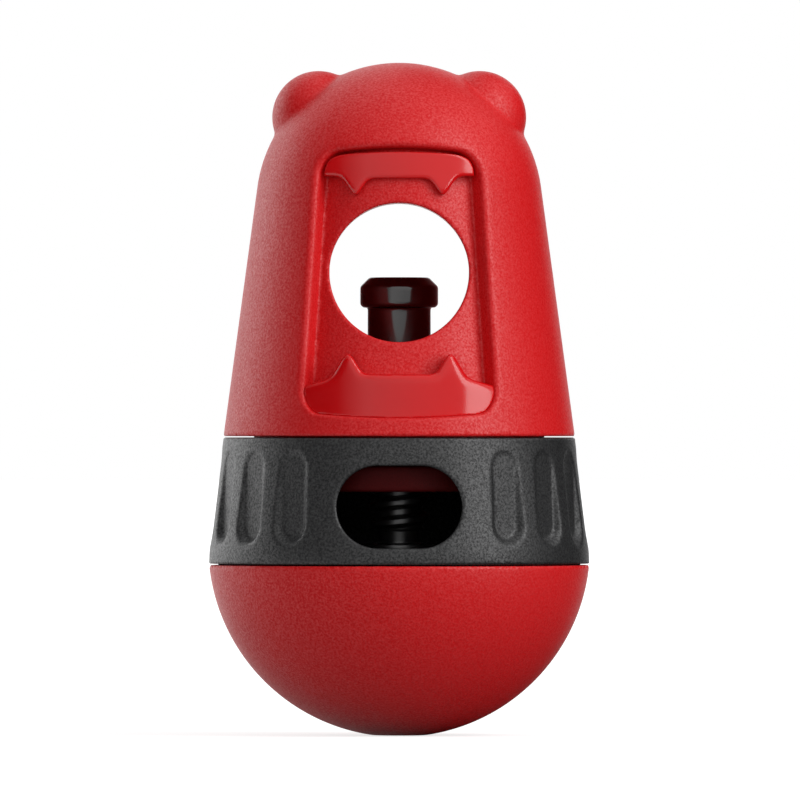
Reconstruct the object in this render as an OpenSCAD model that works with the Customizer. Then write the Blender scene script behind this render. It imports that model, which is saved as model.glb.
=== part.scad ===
// Bear-shaped tumbling dog feeder with a screw clamp for a chew in its mouth.
// The round base is weighted. Kibble sits in the grip band and drops out of its window.
// Turning the head on the grip band drives the clamp up or down in the mouth tunnel.
// Millimetres, Z up, the face looks along -Y, the origin is the middle of the foot.

/* [Base] */
// Radius of the round base
bowl_r = 38.2; // [37.6:0.1:40]
// Wall of the round base
bowl_wall = 2.6; // [2.2:0.1:3]
// Radius of the small flat foot
foot_r = 5; // [3:0.5:8]
// Thickness of the flat seat under the counterweight, above the wall
seat_t = 1.8; // [1:0.1:3]
// Thickness of the cover over the counterweight
cover_t = 2.2; // [2:0.1:3]
// Radius of the hole through the counterweight
weight_hole_r = 9; // [8.8:0.1:11]
// Circle on which the cover screws lie
cover_screw_circle_r = 19; // [16:0.5:22]

/* [Seams] */
// Height of the lower seam below the middle of the round base
rim_drop = 3.67; // [3:0.01:4.5]
// Height of the grip band from seam to seam
band_h = 25.5; // [24.5:0.1:27]
// Open gap at both seams
seam_gap = 0.4; // [0.3:0.05:0.6]

/* [Grip band] */
// How much smaller the radius of the band is at its upper edge
band_taper = 2.9; // [2.4:0.1:3.4]
// Height over which the side turns upright at the lower edge
band_upright_h = 2.1; // [1:0.1:3]
// Wall of the kibble chamber at the upper edge of the band
chamber_wall = 2.1; // [1.8:0.1:2.6]
// Width of the flange that carries the head
flange_w = 6.1; // [5.8:0.05:6.3]
// Thickness of that flange
flange_t = 5.3; // [4.5:0.1:5.6]
// Number of places for finger flutes round the band
flute_places = 20; // [16:2:24]
// Width of a finger flute
flute_w = 6.7; // [5:0.1:7.5]
// Depth of the floor of a flute inside the lower edge of the band
flute_depth = 2.6; // [2:0.1:3]
// Height of the lower end of the flutes above the band's lower edge
flute_low_h = 4.3; // [3.4:0.1:6.5]
// Width of the kibble window
window_w = 24.9; // [20:0.1:27]
// Height of the kibble window
window_h = 16.4; // [12:0.1:16.6]
// Height of the middle of the window above the band's lower edge
window_mid_h = 11.4; // [10.6:0.1:11.5]

/* [Base thread] */
// Step from the band's lower edge in to the shoulder that centres it
shoulder_step = 2; // [1.8:0.05:2.4]
// Length of that shoulder
shoulder_len = 2.4; // [2:0.1:3]
// Step from the shoulder in to the root of the thread
spigot_step = 2.8; // [2.7:0.1:3.2]
// Wall of the threaded spigot
spigot_wall = 5.4; // [4.7:0.1:6.2]
// Length of the spigot below the band
spigot_len = 8.8; // [8.4:0.1:9.2]
// Height of the thread ridges
base_thread_h = 1; // [0.8:0.05:1.1]
// Rise of the band in one turn
base_lead = 3; // [2.8:0.1:3.4]
// Thickness of the seal ring
seal_t = 1.1; // [0.9:0.05:1.1]

/* [Head] */
// Height of the head above the upper seam
head_h = 74.8; // [72:0.1:78]
// How much smaller the radius of the domed top is than the lower edge
head_taper = 6.5; // [5.5:0.1:7.5]
// Wall of the head
head_wall = 2.2; // [1.8:0.1:2.6]
// Radius of an ear
ear_r = 8.7; // [7:0.1:10]
// Depth of the middle of an ear under the dome
ear_sink = 3.9; // [3:0.1:5]
// Angle of the ears above the middle of the dome in degrees
ear_angle = 47.8; // [44:0.1:52]

/* [Mouth] */
// Depth of the mouth's floor under the skin of the head
mouth_depth = 3.8; // [3.4:0.1:4.2]
// Height of the lower edge of the mouth above the lower edge of the head
mouth_low_h = 3.1; // [3.1:0.1:4]
// Height of the brow between the mouth and the top of the head
brow_h = 17.7; // [17.4:0.1:19.5]
// Half width of the mouth at its lower edge, where its side walls start
mouth_low_hw = 12.7; // [12.2:0.1:13.2]
// Half width of the mouth at its upper edge, where its side walls start
mouth_high_hw = 13.4; // [12.8:0.1:13.8]
// Corner radius of the mouth
mouth_corner_r = 4.5; // [3:0.1:5]
// Slope of the side walls of the mouth in degrees
mouth_draft = 33; // [30:1:36]
// Wall behind and beside the mouth
mouth_wall = 1.4; // [1.2:0.1:1.4]
// Radius of the chew tunnel
tunnel_r = 13.75; // [13:0.05:14]
// Height of the tunnel in the mouth as a share of the mouth's height
tunnel_share = 0.5465; // [0.53:0.0005:0.56]
// Wall of the tunnel
tunnel_wall = 2; // [1.6:0.1:2.4]
// How far the lower gum's front lies inside the lower edge of the head
low_gum_in = 1.7; // [1.4:0.1:2.4]
// How far the upper gum's front lies inside the lower edge of the head
high_gum_in = 9.4; // [9:0.1:9.8]
// Radius of the lower gum's upright front
low_gum_r = 33; // [30:0.5:40]
// Radius of the upper gum's upright front
high_gum_r = 34; // [28:0.5:45]
// Height of the lower gum
low_gum_h = 9; // [7.5:0.1:9.5]
// Height of the upper gum
high_gum_h = 5.7; // [4.5:0.1:6]
// Thickness of a tooth
tooth_t = 3; // [2:0.1:3.5]
// Length of a lower tooth
low_tooth_h = 4.3; // [3:0.1:5.5]
// Width of a lower tooth
low_tooth_w = 5.6; // [4:0.1:6.5]
// Distance of a lower tooth from the middle
low_tooth_x = 10.3; // [8:0.1:11]
// Length of an upper tooth
high_tooth_h = 3.1; // [2:0.1:4]
// Width of an upper tooth
high_tooth_w = 4.1; // [3:0.1:5]
// Distance of an upper tooth from the middle
high_tooth_x = 8.8; // [7:0.1:9.5]

/* [Neck] */
// Wall of the neck collar that turns in the band
collar_wall = 4; // [3.8:0.1:4.4]
// Thickness of the plate that closes the head
neck_plate_t = 1.6; // [1.4:0.1:1.6]
// How far the retaining ring reaches under the band's flange
retainer_lip = 2.2; // [1.6:0.1:2.8]
// Height of the retaining ring
retainer_h = 5.2; // [4.6:0.1:5.6]

/* [Clamp] */
// Rise of the clamp in one turn of the head
screw_lead = 3.8; // [3.6:0.1:4.2]
// Radius over the thread of the lead screw
screw_r = 6.1; // [5.9:0.05:6.15]
// Radius at the root of that thread
screw_root_r = 4.8; // [4.6:0.1:5]
// Travel of the clamp above its rest
clamp_up = 9.5; // [7:0.1:10]
// Travel of the clamp below its rest
clamp_down = 3.8; // [2:0.1:3.8]
// Radius of the flange under the thread
screw_flange_r = 8; // [7:0.1:9]
// Height of the top of that flange above the band's lower edge
screw_flange_h = 4; // [3.6:0.1:4.6]
// Width of the square shank
shank_w = 7.6; // [7:0.1:8]
// Radius of the clamp pad
pad_r = 7.8; // [7.2:0.1:8]
// Thickness of the clamp pad
pad_t = 6.1; // [5:0.1:7]
// Chamfer round the top of the pad
pad_chamfer = 1.85; // [1:0.05:2.2]
// Depth of the top of the pad below the middle of the tunnel
pad_drop = 0.8; // [0.4:0.1:1.2]
// Radius of the neck under the pad
plunger_r = 6.3; // [6:0.05:6.5]

/* [Fits and fasteners] */
// Radial clearance of a part that turns or slides
run_fit = 0.1; // [0.06:0.01:0.12]
// Clearance between parts that only lie beside each other
loose_fit = 0.3; // [0.25:0.01:0.35]
// Radius of a screw's shank
screw_shank_r = 1.1; // [1:0.05:1.2]
// Radius of a screw's head
screw_head_r = 2; // [1.8:0.05:2.1]
// Height of a screw's head
screw_head_h = 1.3; // [1.1:0.05:1.4]

/* [Hidden] */
$fn = 64;
// Depth by which a cut runs past the face it starts from
past = 1;
// Depth to which a ridge is sunk into the wall that carries it
sunk = 0.3;
// Clearance of a screw in its hole
screw_fit = 0.05;
// Clearance of a gum in the mouth
gum_fit = 0.1;
// Clearance between two threads
thread_fit = 2.5 * run_fit;
// Depth of a blind screw hole beyond the tip of its screw
tip_gap = 0.5;
// Thickness of the slices that the mouth is drawn over
slice_t = 0.02;
// Angle at which a dome ends in a small flat
crown_angle = 88;

// Heights and radii of the shells
bowl_c = sqrt(bowl_r * bowl_r - foot_r * foot_r);
bowl_in_r = bowl_r - bowl_wall;
low_seam_z = bowl_c - rim_drop;
high_seam_z = low_seam_z + band_h;
rim_z = low_seam_z - seam_gap / 2;
band_z0 = low_seam_z + seam_gap / 2;
band_z1 = high_seam_z - seam_gap / 2;
head_z0 = high_seam_z + seam_gap / 2;
head_top_z = high_seam_z + head_h;
band_low_r = sqrt(pow(bowl_r, 2) - pow(rim_drop, 2));
band_high_r = band_low_r - band_taper;
head_r = band_high_r;
dome_r = head_r - head_taper;
chamber_r = band_high_r - chamber_wall;
collar_r = band_high_r - flange_w;
retainer_r = collar_r + retainer_lip;
flute_floor_r = band_low_r - flute_depth;
flute_low_z = band_z0 + flute_low_h;
flute_end_gap = 1;
flute_top_z = band_z1 - flute_end_gap;
window_z = band_z0 + window_mid_h;

// Threaded spigot of the band and its socket in the base
shoulder_r = band_low_r - shoulder_step;
spigot_root_r = shoulder_r - spigot_step;
spigot_bore_r = spigot_root_r - spigot_wall;
spigot_z0 = band_z0 - spigot_len;
shoulder_z0 = band_z0 - shoulder_len;
socket_bore_r = spigot_root_r + base_thread_h + thread_fit;
socket_z0 = spigot_z0 - loose_fit;
seal_r = spigot_root_r + run_fit / 2 + seal_t / 2;
seal_z = shoulder_z0 - run_fit - seal_t / 2;
thread_lead_in = 1;
thread_seal_gap = 0.7;
base_thread_z0 = spigot_z0 + thread_lead_in;
base_thread_z1 = seal_z - seal_t / 2 - thread_seal_gap;
base_thread_n = 36;
ridge_root_w = 1.5;
ridge_tip_w = 0.6;
chamber_step = 2;
bore_drop = 0.4;
chamber_low_z = band_z0 + chamber_step;
bore_top_z = band_z0 - bore_drop;

// Drive spider under the spigot
spider_t = 2.9;
spider_inset = 1.6;
spider_z0 = spigot_z0 - spider_t;
spider_r = spigot_root_r - spider_inset;
spider_rim_w = 5.1;
spider_screw_inset = 1.9;
spider_screw_circle_r = spigot_bore_r + spider_screw_inset;
spider_arm_w = 6;
spider_arms = 3;
spider_screw_len = 6.5;
spider_grip = spider_screw_len - spider_t + screw_head_h;
hub_r = 7;

// Counterweight, its cover and the well in the cover
stack_gap = 0.7;
cover_z1 = spider_z0 - stack_gap;
cover_z0 = cover_z1 - cover_t;
weight_z1 = cover_z0 - loose_fit;
seat_z = bowl_c - bowl_in_r + seat_t;
cover_r = sqrt(pow(bowl_in_r, 2) - pow(bowl_c - cover_z0, 2)) - loose_fit;
cover_boss_r = 3;
cover_screws_n = 3;
cover_screw_len = 8.5;
well_wall = 1.2;
well_r = weight_hole_r - loose_fit - well_wall;

// Lead screw, nut and plunger
end_gap = 1;
screw_flange_t = 2;
screw_flange_z = band_z0 + screw_flange_h;
screw_neck_h = 3.1;
screw_neck_r = 4.4;
hub_z1 = screw_flange_z - screw_flange_t - clamp_down - end_gap;
shank_grip = 7;
shank_z0 = hub_z1 - clamp_up - shank_grip;
well_z0 = shank_z0 - clamp_down - end_gap;
thread_z0 = screw_flange_z + screw_neck_h;
crest_rise = 1.26;
crest_z = thread_z0 + crest_rise;
crest_w = 1.1;
flank_w = 0.75;
groove_w = screw_lead - crest_w - 2 * flank_w;
neck_plate_z1 = head_z0 + neck_plate_t;
collar_z0 = band_z1 - flange_t - seam_gap / 2;
retainer_z0 = collar_z0 - retainer_h;
nut_body_r = 9;
nut_flange_r = 12;
nut_flange_t = 2;
nut_lift = 0.6;
nut_z0 = collar_z0 + nut_lift;
nut_z1 = neck_plate_z1 + nut_flange_t;
thread_spare = 0.2;
thread_z1 = nut_z1 + clamp_down + thread_spare;
thread_end = 1.8;
screw_thread_n = 32;
stub_r = 3.5;
stub_h = 12;
stub_grip = 5;

// Head, mouth and tunnel
dome_c = head_top_z - dome_r;
side_angle = acos(dome_r / norm([head_r, dome_c - head_z0])) - atan2(dome_c - head_z0, head_r);
ear_x = (dome_r - ear_sink) * cos(ear_angle);
ear_z = dome_c + (dome_r - ear_sink) * sin(ear_angle);
mouth_start = 17.1;
mouth_back_y = head_r - mouth_start;
mouth_z0 = head_z0 + mouth_low_h;
mouth_z1 = head_top_z - brow_h;
mouth_reach = 18;
mouth_floor_t = 2;
tooth_tip = 0.2;
tooth_root = 1.6;
tunnel_z = mouth_z0 + (mouth_z1 - mouth_z0) * tunnel_share;
pad_z1 = tunnel_z - pad_drop;
pad_lip = 0.6;
pad_screw_depth = 2.3;
pad_screw_z = pad_z1 - pad_screw_depth;
plunger_gap = 0.5;
plunger_z0 = thread_z1 + plunger_gap;
guide_wall = 2;
guide_roof_t = 1.2;
guide_share = 0.57;
guide_z1 = tunnel_z - tunnel_r - guide_roof_t;
guide_z0 = guide_z1 - (guide_z1 - nut_z1) * guide_share;
guide_r = plunger_r + run_fit + guide_wall;
guide_seat_w = 2;
neck_post_r = 3;
neck_post_h = 9;
neck_web_w = 3;
neck_screw_len = 12;
retainer_grip = 4;
neck_screw_circle_r = collar_r - collar_wall / 2;
neck_screw_angles = [20, 160, 200, 340];
retainer_screw_angles = [60, 120, 240, 300];

red = [0.76, 0.12, 0.14];
gloss_red = [0.80, 0.08, 0.10];
charcoal = [0.20, 0.20, 0.21];
black = [0.07, 0.06, 0.06];
steel = [0.62, 0.63, 0.65];
ivory = [0.85, 0.83, 0.76];

// Points on an arc in the plane of a turned profile
function arc(c, r, a0, a1, n) = [for (i = [0:n]) let (a = a0 + (a1 - a0) * i / n) c + r * [cos(a), sin(a)]];

// Outline of an upright slot with round ends, middle at the origin
function slot_points(w, h, n) = let (r = min(w, h) / 2)
    w > h
    ? concat(arc([w / 2 - r, 0], r, -90, 90, n), arc([r - w / 2, 0], r, 90, 270, n))
    : concat(arc([0, h / 2 - r], r, 0, 180, n), arc([0, r - h / 2], r, 180, 360, n));

// Helical ridge: right-handed, centred on crest height z_ref where it faces -Y
module ridge(r_root, r_tip, root_w, tip_w, lead, z_ref, z0, z1, per_turn) {
    n = ceil((z1 - z0) / lead * per_turn);
    fade = per_turn / 4;
    out = r_tip > r_root;
    pts = [for (i = [0:n])
        let (z = z0 + (z1 - z0) * i / n, a = (z - z_ref) / lead * 360 - 90)
        let (f = max(0.05, min(1, i / fade, (n - i) / fade)), rt = r_root + (r_tip - r_root) * f)
        for (p = [[r_root, -root_w / 2], [rt, -tip_w / 2], [rt, tip_w / 2], [r_root, root_w / 2]])
            [p[0] * cos(a), p[0] * sin(a), z + p[1]]];
    sides = [for (i = [0:n - 1], k = [0:3])
        let (a = 4 * i + k, b = 4 * i + (k + 1) % 4)
        for (t = [[a, b, a + 4], [b, b + 4, a + 4]]) out ? t : [t[0], t[2], t[1]]];
    m = 4 * n;
    caps = [[0, 3, 2], [0, 2, 1], [m, m + 1, m + 2], [m, m + 2, m + 3]];
    polyhedron(pts, concat(sides, [for (t = caps) out ? t : [t[0], t[2], t[1]]]));
}

// Screw with its head on z = 0 and its shank downwards
module screw(len) {
    difference() {
        union() {
            translate([0, 0, -len]) cylinder(r = screw_shank_r, h = len + screw_head_h / 2);
            cylinder(r = screw_head_r, h = screw_head_h);
        }
        for (a = [0, 90])
            rotate(a) translate([0, 0, screw_head_h]) cube([screw_head_r * 1.3, 0.5, 1.4], center = true);
    }
}

// Hole for that screw, with a pocket for its head
module screw_hole(len) {
    translate([0, 0, -len]) cylinder(r = screw_shank_r + screw_fit, h = len + past);
    cylinder(r = screw_head_r + loose_fit, h = screw_head_h + past);
}

// Children at each of the given angles on a circle
module on_circle(r, angles) {
    for (a = angles)
        rotate(a) translate([r, 0, 0]) children();
}

function even(n, start) = [for (i = [0:n - 1]) start + 360 * i / n];

module base_bowl() {
    color(red) difference() {
        union() {
            difference() {
                translate([0, 0, bowl_c]) sphere(r = bowl_r);
                difference() {
                    translate([0, 0, bowl_c]) sphere(r = bowl_in_r);
                    translate([-bowl_r, -bowl_r, -past]) cube([2 * bowl_r, 2 * bowl_r, seat_z + past]);
                }
                translate([0, 0, socket_z0]) cylinder(r = socket_bore_r, h = bowl_r);
                translate([0, 0, shoulder_z0 - loose_fit]) cylinder(r = shoulder_r + run_fit, h = bowl_r);
            }
            intersection() {
                translate([0, 0, bowl_c]) sphere(r = bowl_r - bowl_wall / 2);
                on_circle(cover_screw_circle_r, even(cover_screws_n, 90))
                    cylinder(r = cover_boss_r, h = cover_z0);
            }
            ridge(socket_bore_r + sunk, spigot_root_r + thread_fit, ridge_root_w, ridge_tip_w, base_lead,
                base_thread_z0 + base_lead / 2, base_thread_z0, base_thread_z1, base_thread_n);
        }
        translate([-bowl_r, -bowl_r, rim_z]) cube([2 * bowl_r, 2 * bowl_r, 2 * bowl_r]);
        translate([-bowl_r, -bowl_r, -bowl_r]) cube([2 * bowl_r, 2 * bowl_r, bowl_r]);
        on_circle(cover_screw_circle_r, even(cover_screws_n, 90))
            translate([0, 0, cover_z1 - screw_head_h]) screw_hole(cover_screw_len + tip_gap);
    }
}

module counterweight() {
    color(steel) difference() {
        intersection() {
            translate([0, 0, bowl_c]) sphere(r = bowl_in_r - loose_fit);
            translate([-bowl_r, -bowl_r, seat_z]) cube([2 * bowl_r, 2 * bowl_r, weight_z1 - seat_z]);
        }
        cylinder(r = weight_hole_r, h = bowl_r);
        on_circle(cover_screw_circle_r, even(cover_screws_n, 90))
            cylinder(r = cover_boss_r + loose_fit, h = bowl_r);
    }
}

module weight_cover() {
    color(black) difference() {
        union() {
            translate([0, 0, cover_z0]) cylinder(r = cover_r, h = cover_t);
            translate([0, 0, well_z0 - well_wall])
                cylinder(r = well_r + well_wall, h = cover_z0 + cover_t / 2 - well_z0 + well_wall);
        }
        translate([0, 0, well_z0]) cylinder(r = well_r, h = bowl_r);
        on_circle(cover_screw_circle_r, even(cover_screws_n, 90))
            translate([0, 0, cover_z1 - screw_head_h]) screw_hole(cover_screw_len + tip_gap);
    }
}

module cover_screws() {
    color(steel) on_circle(cover_screw_circle_r, even(cover_screws_n, 90))
        translate([0, 0, cover_z1 - screw_head_h]) screw(cover_screw_len);
}

module seal_ring() {
    color(black) translate([0, 0, seal_z]) rotate_extrude() translate([seal_r, 0]) circle(r = seal_t / 2);
}

// Outer profile of the band: an upright foot that turns into a cone
band_tilt = atan((band_low_r - band_high_r) / (band_z1 - band_z0 - band_upright_h));
band_turn_r = band_upright_h / tan(band_tilt / 2);

module grip_band() {
    flute_step = 360 / flute_places;
    gap_places = ceil(atan2(window_w / 2 + flute_w / 2, band_low_r) / flute_step);
    color(charcoal) difference() {
        union() {
            rotate_extrude() polygon(concat(
                [[spigot_bore_r, spigot_z0], [spigot_root_r, spigot_z0], [spigot_root_r, shoulder_z0],
                    [shoulder_r, shoulder_z0], [shoulder_r, band_z0]],
                arc([band_low_r - band_turn_r, band_z0], band_turn_r, 0, band_tilt, 4),
                [[band_high_r, band_z1], [collar_r + run_fit, band_z1],
                    [collar_r + run_fit, band_z1 - flange_t], [chamber_r, band_z1 - flange_t],
                    [chamber_r, chamber_low_z], [spigot_bore_r, bore_top_z]]));
            ridge(spigot_root_r - sunk, spigot_root_r + base_thread_h, ridge_root_w, ridge_tip_w, base_lead,
                base_thread_z0, base_thread_z0, base_thread_z1, base_thread_n);
        }
        for (i = [gap_places:flute_places - gap_places])
            rotate(i * flute_step - 90) translate([flute_floor_r, 0, (flute_low_z + flute_top_z) / 2])
                rotate([90, 0, 90]) linear_extrude(height = band_low_r)
                    polygon(slot_points(flute_w, flute_top_z - flute_low_z, 10));
        translate([0, 0, window_z]) rotate([90, 0, 0]) linear_extrude(height = 2 * band_low_r)
            polygon(slot_points(window_w, window_h, 16));
        on_circle(spider_screw_circle_r, even(spider_arms, 90))
            translate([0, 0, spigot_z0 - past])
                cylinder(r = screw_shank_r + screw_fit, h = past + spider_grip + tip_gap);
    }
}

module drive_spider() {
    color(black) difference() {
        union() {
            translate([0, 0, spider_z0]) difference() {
                cylinder(r = spider_r, h = spider_t);
                translate([0, 0, -past]) cylinder(r = spider_r - spider_rim_w, h = spider_t + 2 * past);
            }
            for (a = even(spider_arms, 90))
                rotate(a) translate([0, -spider_arm_w / 2, spider_z0])
                    cube([spider_r - spider_rim_w / 2, spider_arm_w, spider_t - 0.4]);
            translate([0, 0, spider_z0]) cylinder(r = hub_r, h = hub_z1 - spider_z0);
        }
        translate([0, 0, hub_z1]) cube([shank_w + 2 * run_fit, shank_w + 2 * run_fit, bowl_r], center = true);
        on_circle(spider_screw_circle_r, even(spider_arms, 90))
            translate([0, 0, spider_z0 + screw_head_h]) mirror([0, 0, 1]) screw_hole(spider_screw_len);
    }
}

module spider_screws() {
    color(steel) on_circle(spider_screw_circle_r, even(spider_arms, 90))
        translate([0, 0, spider_z0 + screw_head_h]) mirror([0, 0, 1]) screw(spider_screw_len);
}

// Profile of the head from its lower edge to its crown, set in by a wall
function head_profile(wall) = let (down = wall > 0 ? past : 0)
    concat([[0, head_z0 - down], [head_r - wall / cos(side_angle) + down * tan(side_angle), head_z0 - down]],
    arc([0, dome_c], dome_r - wall, side_angle, crown_angle, 14),
    [[0, dome_c + (dome_r - wall) * sin(crown_angle)]]);

// Outline of the mouth: a tapered pocket with round corners, grown by a wall or shrunk by a gap
module mouth_pocket(grow) {
    widen = mouth_reach * tan(mouth_draft);
    hull() for (front = [0, 1], side = [-1, 1]) {
        y = -mouth_back_y - front * mouth_reach;
        r = mouth_corner_r + grow;
        translate([side * (mouth_low_hw + front * widen - mouth_corner_r), y, mouth_z0 + mouth_corner_r])
            rotate([90, 0, 0]) cylinder(r = r, h = slice_t, $fn = 32);
        translate([side * (mouth_high_hw + front * widen - mouth_corner_r), y, mouth_z1 - mouth_corner_r])
            rotate([90, 0, 0]) cylinder(r = r, h = slice_t, $fn = 32);
    }
}

// The mouth down to a round floor that lies a given depth under the skin of the head
module mouth(grow, depth) {
    difference() {
        mouth_pocket(grow);
        rotate(45) rotate_extrude() polygon(head_profile(depth));
    }
}

// Half of the head, y below or above zero
module head_half(front) {
    turn = front ? 180 : 0;
    difference() {
        union() {
            rotate(turn) rotate_extrude(angle = 180) polygon(head_profile(0));
            for (side = [-1, 1])
                translate([side * ear_x, 0, ear_z]) rotate([front ? 90 : -90, 0, 0])
                    rotate_extrude() polygon(concat([[0, 0]], arc([0, 0], ear_r, 0, crown_angle, 10),
                        [[0, ear_r * sin(crown_angle)]]));
        }
        difference() {
            union() {
                rotate(45) rotate_extrude() polygon(head_profile(head_wall));
                for (side = [-1, 1])
                    translate([side * ear_x, 0, ear_z]) rotate([90, 0, 0]) sphere(r = ear_r - head_wall);
            }
            translate([0, 0, tunnel_z]) rotate([90, 0, 0])
                cylinder(r = tunnel_r + tunnel_wall, h = 4 * head_r, center = true);
            if (front) mouth(mouth_wall, mouth_depth + mouth_floor_t);
            translate([0, 0, guide_z0 - guide_seat_w])
                cylinder(r = guide_r + guide_seat_w, h = tunnel_z - guide_z0);
            on_circle(neck_screw_circle_r, neck_screw_angles)
                translate([0, 0, neck_plate_z1]) neck_post();
        }
        if (front) mouth(0, mouth_depth);
        translate([0, 0, tunnel_z]) rotate([90, 0, 0]) cylinder(r = tunnel_r, h = 4 * head_r, center = true);
        translate([0, 0, guide_z0]) cylinder(r = guide_r + screw_fit, h = guide_z1 - guide_z0);
        translate([0, 0, guide_z0 - 2 * guide_seat_w])
            cylinder(r = plunger_r + loose_fit, h = tunnel_z - guide_z0);
        on_circle(neck_screw_circle_r, neck_screw_angles)
            translate([0, 0, neck_plate_z1 - past])
                cylinder(r = screw_shank_r + screw_fit, h = neck_post_h - past);
    }
}

// Post for a neck screw, with a web to the wall
module neck_post() {
    cylinder(r = neck_post_r, h = neck_post_h);
    translate([0, -neck_web_w / 2, 0]) cube([head_r, neck_web_w, neck_post_h]);
}

module head_front() {
    color(red) head_half(true);
}

module head_rear() {
    color(red) head_half(false);
}

// Upright round front of a gum: a cylinder that lies a given way inside the lower edge of the head
module gum_front(r, inside, h) {
    translate([0, r - head_r + inside, 0]) cylinder(r = r, h = h, $fn = 128);
}

// One tooth standing up from z = 0 behind the gum's front
module tooth(x, w, h, r, inside) {
    tip = w * tooth_tip / 2;
    intersection() {
        translate([x, 0, 0]) rotate([90, 0, 0]) linear_extrude(height = head_r)
            polygon([[-w / 2, -tooth_root], [w / 2, -tooth_root], [w / 2, 0],
                [tip, h], [-tip, h], [-w / 2, 0]]);
        translate([0, 0, -tooth_root - past]) difference() {
            gum_front(r, inside, h + tooth_root + 2 * past);
            translate([0, tooth_t, -past]) gum_front(r, inside, h + tooth_root + 4 * past);
        }
    }
}

// A gum whose edge at height z carries two teeth, which point up (1) or down (-1), in front of the floor
module gum(z, up, h, r, inside, tooth_x, tooth_w, tooth_h) {
    color(gloss_red) difference() {
        union() {
            intersection() {
                mouth_pocket(-gum_fit);
                translate([0, 0, up == 1 ? z - h - past : z]) gum_front(r, inside, h + past);
                rotate(30) rotate_extrude() polygon(head_profile(0));
            }
            for (side = [-1, 1])
                translate([0, 0, z]) mirror([0, 0, up == 1 ? 0 : 1])
                    tooth(side * tooth_x, tooth_w, tooth_h, r, inside);
        }
        rotate(60) rotate_extrude() polygon(head_profile(mouth_depth - gum_fit));
    }
}

module lower_gum() {
    gum(mouth_z0 + low_gum_h, 1, low_gum_h, low_gum_r, low_gum_in,
        low_tooth_x, low_tooth_w, low_tooth_h);
}

module upper_gum() {
    gum(mouth_z1 - high_gum_h, -1, high_gum_h, high_gum_r, high_gum_in,
        high_tooth_x, high_tooth_w, high_tooth_h);
}

module neck_collar() {
    plate_r = head_r - head_wall / cos(side_angle) - neck_plate_t * tan(side_angle) - loose_fit;
    color(red) difference() {
        union() {
            translate([0, 0, head_z0]) cylinder(r = plate_r, h = neck_plate_t);
            translate([0, 0, collar_z0]) cylinder(r = collar_r, h = head_z0 - collar_z0 + neck_plate_t / 2);
        }
        translate([0, 0, collar_z0 - past])
            cylinder(r = collar_r - collar_wall, h = head_z0 - collar_z0 + past);
        cylinder(r = nut_body_r + screw_fit, h = head_top_z);
        on_circle(neck_screw_circle_r, neck_screw_angles)
            translate([0, 0, collar_z0 + screw_head_h]) mirror([0, 0, 1]) screw_hole(neck_screw_len);
        on_circle(neck_screw_circle_r, retainer_screw_angles)
            translate([0, 0, collar_z0 - past])
                cylinder(r = screw_shank_r + screw_fit, h = past + retainer_grip + tip_gap);
    }
}

module neck_screws() {
    color(steel) on_circle(neck_screw_circle_r, neck_screw_angles)
        translate([0, 0, collar_z0 + screw_head_h]) mirror([0, 0, 1]) screw(neck_screw_len);
}

module retaining_ring() {
    color(red) difference() {
        translate([0, 0, retainer_z0]) cylinder(r = retainer_r, h = retainer_h);
        translate([0, 0, retainer_z0 - past]) cylinder(r = collar_r - collar_wall, h = retainer_h + 2 * past);
        on_circle(neck_screw_circle_r, retainer_screw_angles)
            translate([0, 0, retainer_z0 + screw_head_h]) mirror([0, 0, 1]) screw_hole(2 * retainer_h);
    }
}

module retainer_screws() {
    color(steel) on_circle(neck_screw_circle_r, retainer_screw_angles)
        translate([0, 0, retainer_z0 + screw_head_h])
            mirror([0, 0, 1]) screw(retainer_h - screw_head_h + retainer_grip);
}

module clamp_nut() {
    bore = screw_r + thread_fit;
    tip = screw_root_r + thread_fit;
    slope = flank_w / (screw_r - screw_root_r);
    clear = 2 * thread_fit;
    color(ivory) {
        difference() {
            union() {
                translate([0, 0, nut_z0]) cylinder(r = nut_body_r, h = nut_z1 - nut_z0);
                translate([0, 0, neck_plate_z1]) cylinder(r = nut_flange_r, h = nut_flange_t);
            }
            cylinder(r = bore, h = head_top_z);
        }
        ridge(bore + sunk, tip, groove_w + 2 * slope * (bore + sunk - screw_root_r) - clear,
            groove_w + 2 * slope * (tip - screw_root_r) - clear, screw_lead, crest_z + screw_lead / 2,
            nut_z0 + groove_w, nut_z1 - groove_w, screw_thread_n);
    }
}

module plunger_guide() {
    color(ivory) difference() {
        translate([0, 0, guide_z0]) cylinder(r = guide_r, h = guide_z1 - guide_z0);
        cylinder(r = plunger_r + run_fit, h = head_top_z);
    }
}

module lead_screw() {
    color(black) {
        difference() {
            union() {
                rotate_extrude() polygon([[0, screw_flange_z - screw_flange_t],
                    [screw_flange_r, screw_flange_z - screw_flange_t], [screw_flange_r, screw_flange_z],
                    [screw_neck_r, screw_flange_z], [screw_neck_r, thread_z0], [screw_root_r, thread_z0],
                    [screw_root_r, plunger_z0], [stub_r, plunger_z0], [stub_r, plunger_z0 + stub_h],
                    [0, plunger_z0 + stub_h]]);
                translate([-shank_w / 2, -shank_w / 2, shank_z0])
                    cube([shank_w, shank_w, screw_flange_z - screw_flange_t / 2 - shank_z0]);
            }
            translate([0, 0, plunger_z0 + stub_h - stub_grip - tip_gap])
                cylinder(r = screw_shank_r + screw_fit, h = stub_grip + tip_gap + past);
        }
        ridge(screw_root_r - sunk, screw_r, crest_w + 2 * flank_w * (1 + sunk / (screw_r - screw_root_r)),
            crest_w, screw_lead, crest_z, thread_z0 + thread_end, thread_z1 - thread_end, screw_thread_n);
    }
}

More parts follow.
